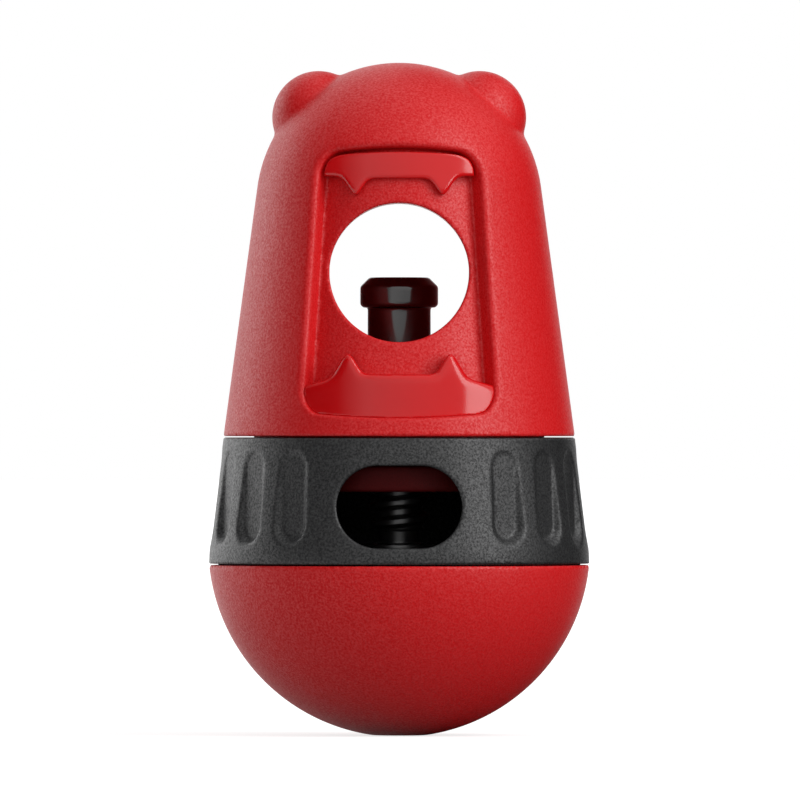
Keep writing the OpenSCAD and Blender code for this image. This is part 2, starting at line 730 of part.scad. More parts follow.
module clamp_plunger() {
    pad_z0 = pad_z1 - pad_t;
    color(black) difference() {
        rotate_extrude() polygon([[stub_r + screw_fit, plunger_z0], [plunger_r, plunger_z0],
            [plunger_r, pad_z0], [pad_r - pad_lip, pad_z0], [pad_r, pad_z0 + pad_lip],
            [pad_r, pad_z1 - pad_chamfer], [pad_r - pad_chamfer, pad_z1], [0, pad_z1],
            [0, plunger_z0 + stub_h], [stub_r + screw_fit, plunger_z0 + stub_h]]);
        translate([0, 0, pad_screw_z]) screw_hole(pad_t + stub_h);
    }
}

module plunger_screw() {
    color(steel) translate([0, 0, pad_screw_z]) screw(pad_screw_z - plunger_z0 - stub_h + stub_grip);
}

base_bowl();
counterweight();
weight_cover();
cover_screws();
seal_ring();
grip_band();
drive_spider();
spider_screws();
head_front();
head_rear();
upper_gum();
lower_gum();
neck_collar();
neck_screws();
retaining_ring();
retainer_screws();
clamp_nut();
plunger_guide();
lead_screw();
clamp_plunger();
plunger_screw();
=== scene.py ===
"""Looks of the bear-shaped chew and kibble feeder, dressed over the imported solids.

Every moulded shape is carved: a formula gives the distance to the surface at any point, Geometry Nodes fills
a fine grid with it and meshes the zero level, so that ribs, threads and soft edges follow one rule each.
Lengths are in millimetres until a mesh is made, and the front of the feeder faces -Y.
"""
import math

import bmesh
import bpy
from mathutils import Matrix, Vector


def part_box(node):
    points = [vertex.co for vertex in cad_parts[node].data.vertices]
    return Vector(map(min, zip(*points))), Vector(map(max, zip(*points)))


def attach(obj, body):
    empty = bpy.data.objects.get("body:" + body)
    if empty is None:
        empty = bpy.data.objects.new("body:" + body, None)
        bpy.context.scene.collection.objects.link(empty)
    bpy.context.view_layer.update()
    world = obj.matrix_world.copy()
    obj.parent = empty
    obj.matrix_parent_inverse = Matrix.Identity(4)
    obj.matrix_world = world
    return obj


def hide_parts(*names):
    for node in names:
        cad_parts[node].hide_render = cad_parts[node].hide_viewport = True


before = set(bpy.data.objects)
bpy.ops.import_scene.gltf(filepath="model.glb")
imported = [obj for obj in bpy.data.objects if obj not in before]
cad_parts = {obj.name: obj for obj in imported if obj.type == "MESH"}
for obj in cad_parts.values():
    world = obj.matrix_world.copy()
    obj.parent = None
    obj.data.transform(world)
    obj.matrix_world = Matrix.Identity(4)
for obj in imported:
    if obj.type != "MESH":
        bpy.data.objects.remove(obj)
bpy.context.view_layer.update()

MM = 0.001
TINY = 0.00001

# How far an edge or inner corner is rounded
HAIR, FINE, CRISP, LIGHT, SOFT, FULL, ROUND, BROAD = 0.15, 0.2, 0.3, 0.4, 0.5, 0.6, 0.8, 0.9

# Base: sizes follow the part's source
BOWL_R, BOWL_WALL, FOOT_R = 38.2, 2.6, 5.0
BOWL_MID = math.sqrt(BOWL_R ** 2 - FOOT_R ** 2)
RIM_DROP, SEAM_GAP, SEAM_LIP = 3.67, 0.4, 0.06
LOW_SEAM = BOWL_MID - RIM_DROP
HIGH_SEAM = LOW_SEAM + 25.5
RIM_Z = LOW_SEAM - SEAM_GAP / 2
WEIGHT_SEAT_Z = BOWL_MID - BOWL_R + BOWL_WALL + 1.8
BOSS_CIRCLE, BOSS_ANGLES, BOSS_R, BOSS_ROOT, BOSS_TOP = 19.0, (90, 210, 330), 3.0, 3.0, 19.8

# Band: sizes follow the part's source, with flutes fitted closer to the photograph
BAND_Z0, BAND_Z1 = LOW_SEAM + SEAM_GAP / 2, HIGH_SEAM - SEAM_GAP / 2
BAND_LOW_R = math.sqrt(BOWL_R ** 2 - RIM_DROP ** 2)
BAND_HIGH_R = BAND_LOW_R - 2.9
BAND_UPRIGHT = 2.1
BAND_TILT = math.atan((BAND_LOW_R - BAND_HIGH_R) / (BAND_Z1 - BAND_Z0 - BAND_UPRIGHT))
CHAMBER_R, CHAMBER_LOW = BAND_HIGH_R - 2.1, BAND_Z0 + 2.0
FLANGE_LOW = BAND_Z1 - 5.3
COLLAR_R, CLOSE_FIT, OVERLAP = BAND_HIGH_R - 6.1, 0.1, 1.0
FLUTE_Z0, FLUTE_Z1 = BAND_Z0 + 5.1, BAND_Z1 - 3.0
FLUTE_FLOOR_R, FLUTE_LEAN, FLUTE_REACH = BAND_LOW_R - 2.06, 0.0393, 4.0
# Within this many places of the front there are no flutes
PLAIN_PLACES, PLAIN_STEEP = 1.5, 30.0
WINDOW_Z = BAND_Z0 + 11.4
SHOULDER_R, SHOULDER_Z = BAND_LOW_R - 2.0, BAND_Z0 - 2.4
SPIGOT_R, SPIGOT_Z = BAND_LOW_R - 4.8, BAND_Z0 - 8.8
SPIGOT_BORE_R, BORE_TOP = SPIGOT_R - 5.4, BAND_Z0 - 0.4
RAMP_RUN, RAMP_RISE = 2.4, 5.2

# Thread between base and band
BASE_LEAD, BASE_RIDGE = 3.0, 1.0
BASE_THREAD_Z0, BASE_THREAD_Z1 = SPIGOT_Z + 1.0, SHOULDER_Z - 1.9
RIDGE_HALF_W, RIDGE_FLANK, RIDGE_ROOT, RIDGE_END = 0.75, 0.45, 0.4, 12.0
SOCKET_R, SOCKET_Z, SOCKET_OVERLAP, STEP_FIT = SPIGOT_R + 1.25, SPIGOT_Z - 0.3, 0.5, 0.3

# Head: sizes follow the part's source, with ears, tunnel and mouth roof fitted closer to the photograph
HEAD_Z0, HEAD_TOP = HIGH_SEAM + SEAM_GAP / 2, HIGH_SEAM + 74.8
HEAD_R = BAND_HIGH_R
DOME_R = HEAD_R - 6.5
DOME_Z = HEAD_TOP - DOME_R
HEAD_SLOPE = (math.acos(DOME_R / math.hypot(HEAD_R, DOME_Z - HEAD_Z0))
              - math.atan2(DOME_Z - HEAD_Z0, HEAD_R))
HEAD_WALL = 2.2
EAR_R, EAR_SUNK, EAR_ANGLE = 9.3, 4.7, math.radians(47.7)
EAR_X = (DOME_R - EAR_SUNK) * math.cos(EAR_ANGLE)
EAR_Z = DOME_Z + (DOME_R - EAR_SUNK) * math.sin(EAR_ANGLE)
MOUTH_DEPTH, MOUTH_BACK, MOUTH_LAST_Y = 3.8, HEAD_R - 17.1, -10.0
MOUTH_Z0, MOUTH_Z1 = HEAD_Z0 + 3.1, HEAD_TOP - 17.7
MOUTH_LOW_W, MOUTH_HIGH_W, MOUTH_CORNER = 12.7, 13.4, 4.5
MOUTH_DRAFT, MOUTH_TOP_DRAFT = math.tan(math.radians(33)), math.tan(math.radians(10))
MOUTH_FLOOR_Z, MOUTH_ROOF_Z, MOUTH_ARCH = MOUTH_Z0 + 0.5, MOUTH_Z1 - 0.65, 0.003
MOUTH_WALL, MOUTH_FLOOR_T = 1.4, 2.0
# The mouth's rim is less rounded low down
RIM_SHARP_Z, RIM_SOFT_RUN, RIM_SHARP = 63.5, 5.0, 0.4
TUNNEL_R, TUNNEL_Z, TUNNEL_WALL = 13.85, MOUTH_Z0 + (MOUTH_Z1 - MOUTH_Z0) * 0.5465, 2.0
WIDENING, WIDENING_Y, WIDENING_RUN = 0.25, -23.0, 10.0
TOWER_R, TOWER_Z, GUIDE_BORE_R, GUIDE_TOP = 10.4, 68.0, 8.5, 77.5
PLUNGER_BORE_R, PLUNGER_BORE_Z = 6.7, 70.0
NECK_POST_R, NECK_POST_Z0, NECK_POST_Z1 = 3.0, 61.6, 70.6
COLLAR_SCREW_CIRCLE = 27.02
NECK_SCREW_ANGLES, RETAINER_SCREW_ANGLES = (20, 160, 200, 340), (60, 120, 240, 300)

# Gums and teeth
LOW_GUM_R, LOW_GUM_IN, HIGH_GUM_R, HIGH_GUM_IN = 33.0, 1.7, 34.0, 9.4
TOOTH_T, GUM_END_ROUND, GUM_SUNK, GUM_PROUD = 3.0, 6.0, 0.05, 0.8

# Pad and stem
PAD_R, PAD_T, PAD_TOP = 7.8, 6.1, TUNNEL_Z - 0.8
PAD_LIP, PAD_ROOT, PAD_OVERLAP = 0.6, 0.7, 2.0
POCKET_R, POCKET_DEPTH, PAD_HOLE_R = 2.3, 2.3, 1.15
PLUNGER_R, PLUNGER_LOW, PLUNGER_SOCKET_R, PLUNGER_SOCKET_TOP = 6.3, 68.0, 3.6, 80.1
SCREW_R, SCREW_ROOT_R, SCREW_LEAD, SCREW_CREST_Z = 6.1, 4.8, 3.8, BAND_Z0 + 8.36
# Distances grow too fast across a thread's steep flank, and the values named EVEN bring them down
THREAD_Z0, THREAD_Z1, THREAD_EVEN = 41.0, 67.5, 0.55
CREST_HALF_W, CREST_FLANK = 1.3, 0.75
FADE_LOW_Z, FADE_LOW_RUN, FADE_HIGH_Z, FADE_HIGH_RUN = 41.2, 0.8, 67.6, 1.6
STEM_NECK_R, STEM_NECK_TAPER, STEM_NECK_RUN, STEM_NECK_Z0, STEM_NECK_Z1 = 4.3, 0.2, 3.1, 37.0, 43.0
STEM_FLANGE_Z0, STEM_FLANGE_Z1 = 36.4, 38.4
SHANK_HALF_W, SHANK_CORNER, SHANK_Z0, SHANK_Z1 = 3.8, 0.7, 15.1, 37.0
STUB_R, STUB_Z0, STUB_Z1, STUB_HOLE_R, STUB_HOLE_Z = 3.5, 66.0, 79.9, 1.1, 74.0

# Retaining ring and small screws
RETAINER_R, RETAINER_BORE_R, RETAINER_Z0, RETAINER_Z1 = COLLAR_R + 2.2, COLLAR_R - 4.0, 48.8, 54.0
SCREW_SEAT_R, SCREW_SEAT_Z = 2.25, 50.1
SCREW_HEAD_R, SCREW_HEAD_H, SCREW_SHANK_R, SCREW_ROOM = 2.0, 1.3, 1.1, 2.4
SMALL_LEAD, SMALL_RIDGE, SMALL_CREST, SMALL_FLANK, SMALL_EVEN = 0.9, 0.28, 0.34, 0.24, 0.6
POINT_R, POINT_EVEN, SHANK_OVERLAP = 0.5, 0.7, 0.4
HEAD_DOME_R, HEAD_DOME_DROP = 3.3, 2.0
CROSS_HALF_W, CROSS_HALF_L, CROSS_FLOOR = 0.3, 1.15, 0.45


# Formulas in nodes
class Field:
    """A value in a node tree, so that a shape can be written as a formula."""

    def __init__(self, tree, socket):
        self.tree, self.socket = tree, socket

    def math(self, kind, *others):
        node = self.tree.nodes.new("ShaderNodeMath")
        node.operation = kind
        for slot, value in zip(node.inputs, (self, *others)):
            if isinstance(value, Field):
                self.tree.links.new(value.socket, slot)
            else:
                slot.default_value = value
        return Field(self.tree, node.outputs[0])

    def __add__(self, other):
        return self.math("ADD", other)

    def __sub__(self, other):
        return self.math("SUBTRACT", other)

    def __rsub__(self, other):
        return self.math("MULTIPLY_ADD", -1.0, other)

    def __mul__(self, other):
        return self.math("MULTIPLY", other)

    def __rmul__(self, other):
        return self.math("MULTIPLY", other)

    def __truediv__(self, other):
        return self.math("DIVIDE", other)

    def __rtruediv__(self, other):
        return self.math("POWER", -1.0) * other

    def __neg__(self):
        return self.math("MULTIPLY", -1.0)

    def __abs__(self):
        return self.math("ABSOLUTE")


def most(first, second, soft=0.0):
    """What two shapes share; soft rounds the edge between them."""
    return first.math("MAXIMUM", second) if soft == 0.0 else first.math("SMOOTH_MAX", second, soft)


def least(first, second, soft=0.0):
    """Two shapes joined; soft fills the corner between them."""
    return first.math("MINIMUM", second) if soft == 0.0 else first.math("SMOOTH_MIN", second, soft)


def limit(value, low, high):
    return value.math("MAXIMUM", low).math("MINIMUM", high)


def reach(*parts):
    """Length of the line whose sides are given."""
    total = parts[0] * parts[0]
    for part in parts[1:]:
        total = part.math("MULTIPLY_ADD", part, total)
    return total.math("SQRT")


def sloped(rise, slope):
    """Brings a distance that grows too fast along a slope back to its true length."""
    return rise / (slope * slope + 1.0).math("SQRT")


def between(value, low, high):
    return abs(value - (low + high) / 2) - (high - low) / 2


def slot_shape(across, along, width, length):
    """A flat slot with round ends, its length along the second direction."""
    return reach(across, most(abs(along) - (length - width) / 2, 0.0)) - width / 2


def round_box(across, along, half_w, half_l, corner):
    over_w, over_l = abs(across) - (half_w - corner), abs(along) - (half_l - corner)
    return reach(most(over_w, 0.0), most(over_l, 0.0)) + least(most(over_w, over_l), 0.0) - corner


def climb_of(x, y, z, lead, start):
    """Height over the nearest turn of a right-handed helix that faces the front at the start height."""
    turn = x.math("ARCTAN2", -y)
    return (z - start - turn * (lead / math.tau)).math("WRAP", lead / 2, -lead / 2)


def post_at(x, y, circle_r, degrees, radius):
    angle = math.radians(degrees)
    return reach(x - circle_r * math.cos(angle), y - circle_r * math.sin(angle)) - radius


def posts(x, y, circle_r, angles, radius):
    shape = post_at(x, y, circle_r, angles[0], radius)
    for degrees in angles[1:]:
        shape = least(shape, post_at(x, y, circle_r, degrees, radius))
    return shape


# Shapes of the pieces, as distances
def head_skin(x, y, z):
    out_from_axis = reach(x, y)
    rise = z - DOME_Z
    out = out_from_axis * math.cos(HEAD_SLOPE) + rise * math.sin(HEAD_SLOPE)
    along = rise * math.cos(HEAD_SLOPE) - out_from_axis * math.sin(HEAD_SLOPE)
    return reach(most(along, 0.0), out) - DOME_R


def mouth_outline(x, y, z):
    """The mouth's rim seen from the front: wider towards the front, with its two short sides arched."""
    forward = most(-MOUTH_BACK - y, 0.0)
    half_w = ((z - MOUTH_Z0) * ((MOUTH_HIGH_W - MOUTH_LOW_W) / (MOUTH_Z1 - MOUTH_Z0)) + MOUTH_LOW_W
              + forward * MOUTH_DRAFT)
    mid = (MOUTH_FLOOR_Z + MOUTH_ROOF_Z) / 2
    upright = abs(z - mid) + x * x * MOUTH_ARCH - forward * MOUTH_TOP_DRAFT * limit(z - mid, 0.0, 1.0)
    return round_box(x, upright, half_w, (MOUTH_ROOF_Z - MOUTH_FLOOR_Z) / 2, MOUTH_CORNER)


def head_shape(x, y, z, s):
    """The hollow head: a mouth in front only, a tunnel right through, and seats for guide and screws."""
    axis, skin = reach(x, y), head_skin(x, y, z)
    ear = reach(abs(x) - EAR_X, y, z - EAR_Z) - s["Ear radius"]
    outside = least(skin, ear, s["Ear crease"])
    outside = most(outside, HEAD_Z0 - SEAM_LIP - z, s["Lower edge"])
    inside = least(skin, ear) + s["Wall"]
    outline = most(mouth_outline(x, y, z), y - MOUTH_LAST_Y)
    mouth = most(outline, -MOUTH_DEPTH - skin, s["Floor corner"])
    wider = limit((y - WIDENING_Y) / WIDENING_RUN, 0.0, 1.0) * WIDENING
    tunnel = reach(x, z - TUNNEL_Z) - s["Tunnel radius"] - wider
    tower = most(axis - TOWER_R, between(z, TOWER_Z, TUNNEL_Z))
    feet = most(posts(x, y, COLLAR_SCREW_CIRCLE, NECK_SCREW_ANGLES, NECK_POST_R),
                between(z, NECK_POST_Z0, NECK_POST_Z1))
    backing = most(outline - MOUTH_WALL, -MOUTH_DEPTH - MOUTH_FLOOR_T - skin)
    kept = least(least(tunnel - TUNNEL_WALL, tower), least(feet, backing))
    rim = s["Mouth rim"] * limit((z - RIM_SHARP_Z) / RIM_SOFT_RUN, RIM_SHARP, 1.0)
    body = most(outside, -mouth, rim)
    body = most(body, -tunnel, s["Tunnel edge"])
    body = most(body, -most(inside, -kept))
    body = most(body, -most(axis - GUIDE_BORE_R, z - GUIDE_TOP))
    return most(body, -most(axis - PLUNGER_BORE_R, between(z, PLUNGER_BORE_Z, TUNNEL_Z)))


def gum_shape(x, y, z, s, front_r, inside, tooth_up):
    """A round-fronted gum with two teeth, all its front edges rounded over."""
    front = reach(x, y - (front_r - HEAD_R + inside) - (z - s["Edge height"]) * s["Lean back"]) - front_r
    skin = head_skin(x, y, z)
    away = (s["Edge height"] - z) * tooth_up
    edge = -away + limit(abs(x) - s["Tooth place"], 0.0, s["End run"]) * s["End fall"]
    from_tip = away + s["Tooth height"]
    lean = s["Tooth lean"]
    tooth = sloped(reach(abs(x) - s["Tooth place"], s["Tooth tip"]) - from_tip * lean, lean)
    block = most(least(edge, tooth, s["Tooth root"]), front, s["Round edge"])
    behind_teeth = most(-edge, front + TOOTH_T)
    block = most(block, -behind_teeth, LIGHT)
    far = (s["Far height"] - z) * tooth_up + x * x * s["Far arch"]
    block = most(block, most(far, abs(x) - s["End place"], GUM_END_ROUND), SOFT)
    block = most(block, -MOUTH_DEPTH - GUM_SUNK - skin)
    return most(most(block, mouth_outline(x, y, z) - GUM_SUNK), skin - GUM_PROUD)


def lower_gum_shape(x, y, z, s):
    return gum_shape(x, y, z, s, LOW_GUM_R, LOW_GUM_IN, 1.0)


def upper_gum_shape(x, y, z, s):
    return gum_shape(x, y, z, s, HIGH_GUM_R, HIGH_GUM_IN, -1.0)


def base_ridge(x, y, z, root_r, out, start):
    """The ridge of the thread between base and band; out is 1 on the spigot and -1 in the socket."""
    climb = climb_of(x, y, z, BASE_LEAD, start)
    depth = (reach(x, y) - root_r) * out
    flank = abs(climb) - RIDGE_HALF_W + limit(depth, 0.0, BASE_RIDGE) * RIDGE_FLANK
    ridge = most(flank, depth - BASE_RIDGE, FINE)
    ridge = most(ridge, -RIDGE_ROOT - depth)
    return most(ridge, between(z - climb, start, start + BASE_THREAD_Z1 - BASE_THREAD_Z0) * RIDGE_END)


def band_shape(x, y, z, s):
    """The grip band: flutes all round but at the window, chamber, threaded spigot and head flange."""
    axis = reach(x, y)
    turn = x.math("ARCTAN2", -y)
    side = ((axis - BAND_LOW_R) * math.cos(BAND_TILT)
            + (z - (BAND_Z0 + BAND_UPRIGHT)) * math.sin(BAND_TILT))
    body = most(most(axis - BAND_LOW_R, side, SOFT), between(z, BAND_Z0 - SEAM_LIP, BAND_Z1 + SEAM_LIP),
                s["Edge softness"])
    pitch = math.tau / s["Flute places"]
    nearest = turn.math("WRAP", pitch * 0.5, pitch * -0.5)
    across, out = axis * nearest.math("SINE"), axis * nearest.math("COSINE")
    over_floor = out - FLUTE_FLOOR_R + (z - FLUTE_Z0) * FLUTE_LEAN
    slot = slot_shape(across, z - (FLUTE_Z0 + FLUTE_Z1) / 2, s["Flute width"], FLUTE_Z1 - FLUTE_Z0)
    draft = s["Flute draft"]
    flute = sloped(slot - limit(over_floor, 0.0, FLUTE_REACH) * draft, draft)
    flute = most(flute, -over_floor, CRISP)
    flute = most(flute, (PLAIN_PLACES * pitch - abs(turn)) * PLAIN_STEEP)
    body = most(body, -flute, s["Flute edge"])
    shoulder = most(axis - SHOULDER_R, between(z, SHOULDER_Z, BAND_Z0 + OVERLAP), SOFT)
    spigot = most(axis - SPIGOT_R, between(z, SPIGOT_Z, BAND_Z0 + OVERLAP), SOFT)
    ridge = base_ridge(x, y, z, SPIGOT_R, 1.0, BASE_THREAD_Z0)
    body = least(body, least(shoulder, least(spigot, ridge, CRISP)))
    ramp = ((axis - SPIGOT_BORE_R) * RAMP_RUN - (z - BORE_TOP) * RAMP_RISE) / math.hypot(RAMP_RUN, RAMP_RISE)
    room = most(most(axis - CHAMBER_R, z - FLANGE_LOW, FULL), ramp)
    bore = most(axis - SPIGOT_BORE_R, z - CHAMBER_LOW)
    collar_hole = most(axis - (COLLAR_R + CLOSE_FIT), FLANGE_LOW - OVERLAP - z)
    body = most(body, -least(least(room, bore), collar_hole), LIGHT)
    window = most(slot_shape(z - WINDOW_Z, x, s["Window height"], s["Window width"]), y)
    return most(body, -window, s["Window edge"])


def bowl_shape(x, y, z, s):
    """The round base: a ball with a small flat foot, a seat and bosses for the weight, and a socket."""
    axis = reach(x, y)
    ball = reach(axis, z - BOWL_MID)
    body = most(most(ball - BOWL_R, -z, FINE), z - RIM_Z - SEAM_LIP, s["Rim softness"])
    room = most(most(ball - (BOWL_R - BOWL_WALL), WEIGHT_SEAT_Z - z, ROUND), z - SOCKET_Z)
    socket = most(axis - SOCKET_R, SOCKET_Z - SOCKET_OVERLAP - z)
    step = most(axis - (SHOULDER_R + CLOSE_FIT), SHOULDER_Z - STEP_FIT - z)
    body = most(body, -least(least(room, socket), step), CRISP)
    ridge = base_ridge(x, y, z, SOCKET_R, -1.0, BASE_THREAD_Z0 + BASE_LEAD / 2)
    bosses = most(posts(x, y, BOSS_CIRCLE, BOSS_ANGLES, BOSS_R),
                  between(z, WEIGHT_SEAT_Z - BOSS_ROOT, BOSS_TOP), LIGHT)
    bosses = most(bosses, ball - (BOWL_R - BOWL_WALL / 2))
    return least(least(body, ridge, CRISP), bosses, ROUND)


def plunger_shape(x, y, z, s):
    """The chamfered pad on its hollow neck, with a pocket for its screw."""
    axis = reach(x, y)
    chamfer = (axis - PAD_R + z - (PAD_TOP - s["Pad chamfer"])) * math.sqrt(0.5)
    lip = (axis - PAD_R + (PAD_TOP - PAD_T + PAD_LIP) - z) * math.sqrt(0.5)
    pad = most(axis - s["Pad radius"], between(z, PAD_TOP - PAD_T, PAD_TOP))
    pad = most(most(pad, chamfer, SOFT), lip, LIGHT)
    neck = most(axis - PLUNGER_R, between(z, PLUNGER_LOW, PAD_TOP - PAD_OVERLAP), LIGHT)
    body = least(pad, neck, PAD_ROOT)
    body = most(body, -most(axis - PLUNGER_SOCKET_R, z - PLUNGER_SOCKET_TOP))
    pocket = most(axis - POCKET_R, PAD_TOP - POCKET_DEPTH - z)
    return most(most(body, -pocket, LIGHT), -(axis - PAD_HOLE_R))


def screw_stem_shape(x, y, z, s):
    """The lead screw: thread, neck, flange, square shank below and a plain stub for the pad above."""
    axis = reach(x, y)
    climb = climb_of(x, y, z, s["Thread lead"], SCREW_CREST_Z)
    fade = limit(least((z - FADE_LOW_Z) / FADE_LOW_RUN, (FADE_HIGH_Z - z) / FADE_HIGH_RUN), 0.0, 1.0)
    ridge = limit((CREST_HALF_W - abs(climb)) / CREST_FLANK, 0.0, 1.0) * fade * (SCREW_R - SCREW_ROOT_R)
    thread = most((axis - SCREW_ROOT_R - ridge) * THREAD_EVEN, between(z, THREAD_Z0, THREAD_Z1), CRISP)
    taper = limit((z - STEM_FLANGE_Z1) / STEM_NECK_RUN, 0.0, 1.0) * STEM_NECK_TAPER
    neck = most(axis - STEM_NECK_R - taper, between(z, STEM_NECK_Z0, STEM_NECK_Z1))
    flange = most(axis - s["Flange radius"], between(z, STEM_FLANGE_Z0, STEM_FLANGE_Z1), BROAD)
    shank = most(round_box(x, y, SHANK_HALF_W, SHANK_HALF_W, SHANK_CORNER), between(z, SHANK_Z0, SHANK_Z1),
                 ROUND)
    stub = most(axis - STUB_R, between(z, STUB_Z0, STUB_Z1), SOFT)
    body = least(least(thread, neck), least(least(flange, shank, FULL), stub))
    return most(body, -most(axis - STUB_HOLE_R, STUB_HOLE_Z - z))


def retainer_shape(x, y, z, s):
    axis = reach(x, y)
    body = most(most(axis - RETAINER_R, RETAINER_BORE_R - axis), between(z, RETAINER_Z0, RETAINER_Z1),
                s["Edge softness"])
    seats = most(posts(x, y, COLLAR_SCREW_CIRCLE, RETAINER_SCREW_ANGLES, SCREW_SEAT_R), z - SCREW_SEAT_Z)
    return most(body, -seats, LIGHT)


def small_screw_shape(x, y, z, s):
    """A screw that points down from its seat at zero, with a cross in a domed head."""
    axis = reach(x, y)
    climb = climb_of(x, y, z, SMALL_LEAD, 0.0)
    ridge = limit((SMALL_CREST - abs(climb)) / SMALL_FLANK, 0.0, 1.0) * SMALL_RIDGE
    shank = most((axis - (SCREW_SHANK_R - SMALL_RIDGE) - ridge) * SMALL_EVEN,
                 between(z, s["Length"] * -1.0, SHANK_OVERLAP))
    shank = most(shank, (axis - POINT_R - (z + s["Length"])) * POINT_EVEN)
    dome = reach(axis, z + HEAD_DOME_DROP) - HEAD_DOME_R
    head = most(most(axis - SCREW_HEAD_R, between(z, 0.0, SCREW_HEAD_H), CRISP), dome, CRISP)
    cross = least(most(abs(x) - CROSS_HALF_W, abs(y) - CROSS_HALF_L),
                  most(abs(y) - CROSS_HALF_W, abs(x) - CROSS_HALF_L))
    return most(least(head, shank), -most(cross, CROSS_FLOOR - z), HAIR)


# Carving
DENSITY_CELLS, PROBE, PULLS = 6, 0.1, 2
PROBE_CORNERS = ((1, 1, 1), (1, -1, -1), (-1, 1, -1), (-1, -1, 1))
WELD_SNAP = 1e-7


def shape_group(name, formula, sizes):
    """A node group that gives the distance to a shape in metres, with its sizes as named inputs."""
    tree = bpy.data.node_groups.new(name + "_distance", "GeometryNodeTree")
    tree.interface.new_socket("Position", in_out="INPUT", socket_type="NodeSocketVector")
    for label, value in sizes.items():
        tree.interface.new_socket(label, in_out="INPUT", socket_type="NodeSocketFloat").default_value = value
    tree.interface.new_socket("Distance", in_out="OUTPUT", socket_type="NodeSocketFloat")
    given, result = tree.nodes.new("NodeGroupInput"), tree.nodes.new("NodeGroupOutput")
    split = tree.nodes.new("ShaderNodeSeparateXYZ")
    tree.links.new(given.outputs["Position"], split.inputs[0])
    x, y, z = (Field(tree, side) * (1 / MM) for side in split.outputs)
    distance = formula(x, y, z, {label: Field(tree, given.outputs[label]) for label in sizes}) * MM
    tree.links.new(distance.socket, result.inputs["Distance"])
    return tree


def vector_node(tree, kind, first, second=None):
    """A vector step; a plain list is a constant, and a number or value field scales."""
    node = tree.nodes.new("ShaderNodeVectorMath")
    node.operation = kind
    slots = (node.inputs[0], node.inputs["Scale"] if kind == "SCALE" else node.inputs[1])
    for slot, value in zip(slots, (first, second)):
        if isinstance(value, Field):
            tree.links.new(value.socket, slot)
        elif value is not None:
            slot.default_value = value
    return Field(tree, node.outputs[0])


def carved_mesh(tree, given, shape, labels, low, high, cell):
    """Nodes that mesh a shape inside a box, then pull every point onto the surface twice."""
    place = Field(tree, tree.nodes.new("GeometryNodeInputPosition").outputs[0])

    def distance_at(point):
        node = tree.nodes.new("GeometryNodeGroup")
        node.node_tree = shape
        tree.links.new(point.socket, node.inputs["Position"])
        for label in labels:
            tree.links.new(given.outputs[label], node.inputs[label])
        return Field(tree, node.outputs["Distance"])

    grid = tree.nodes.new("GeometryNodeVolumeCube")
    density = limit(0.5 - distance_at(place) * (1 / (DENSITY_CELLS * cell)), 0.0, 1.0)
    tree.links.new(density.socket, grid.inputs["Density"])
    counts = [max(2, round((top - bottom) / cell) + 1) for bottom, top in zip(low, high)]
    grid.inputs["Min"].default_value = low
    grid.inputs["Max"].default_value = [bottom + cell * (count - 1) for bottom, count in zip(low, counts)]
    for letter, count in zip("XYZ", counts):
        grid.inputs["Resolution " + letter].default_value = count
    skin = tree.nodes.new("GeometryNodeVolumeToMesh")
    skin.inputs["Threshold"].default_value = 0.5
    tree.links.new(grid.outputs[0], skin.inputs[0])
    mesh = skin.outputs[0]
    for _ in range(PULLS):
        total = slope = None
        for corner in PROBE_CORNERS:
            step = [cell * PROBE * side for side in corner]
            distance = distance_at(vector_node(tree, "ADD", place, step))
            part = vector_node(tree, "SCALE", corner, distance)
            total = distance if total is None else total + distance
            slope = part if slope is None else vector_node(tree, "ADD", slope, part)
        move = limit(total * (-1 / len(PROBE_CORNERS)), -cell, cell)
        outward = vector_node(tree, "NORMALIZE", slope)
        settle = tree.nodes.new("GeometryNodeSetPosition")
        tree.links.new(mesh, settle.inputs["Geometry"])
        tree.links.new(vector_node(tree, "SCALE", outward, move).socket, settle.inputs["Offset"])
        mesh = settle.outputs["Geometry"]
    return mesh


def on_circle(tree, given, mesh, flipped):
    """Nodes that set copies of a mesh round a circle, evenly or in skewed pairs."""
    line = tree.nodes.new("GeometryNodeMeshLine")
    tree.links.new(given.outputs["Count"], line.inputs["Count"])
    number = Field(tree, tree.nodes.new("GeometryNodeInputIndex").outputs[0])
    value = {label: Field(tree, given.outputs[label])
             for label in ("Circle", "First", "Step", "Skew", "Seat")}
    angle = value["First"] + number * value["Step"] + number.math("MODULO", 2.0) * value["Skew"]
    angle = angle.math("RADIANS")
    spot = tree.nodes.new("ShaderNodeCombineXYZ")
    for slot, side in zip(spot.inputs, (angle.math("COSINE") * value["Circle"],
                                        angle.math("SINE") * value["Circle"], value["Seat"])):
        tree.links.new((side * MM).socket, slot)
    settle = tree.nodes.new("GeometryNodeSetPosition")
    tree.links.new(line.outputs[0], settle.inputs["Geometry"])
    tree.links.new(spot.outputs[0], settle.inputs["Position"])
    copies = tree.nodes.new("GeometryNodeInstanceOnPoints")
    tree.links.new(settle.outputs["Geometry"], copies.inputs["Points"])
    tree.links.new(mesh, copies.inputs["Instance"])
    copies.inputs["Rotation"].default_value = (math.pi if flipped else 0.0, 0.0, 0.0)
    return copies.outputs[0]


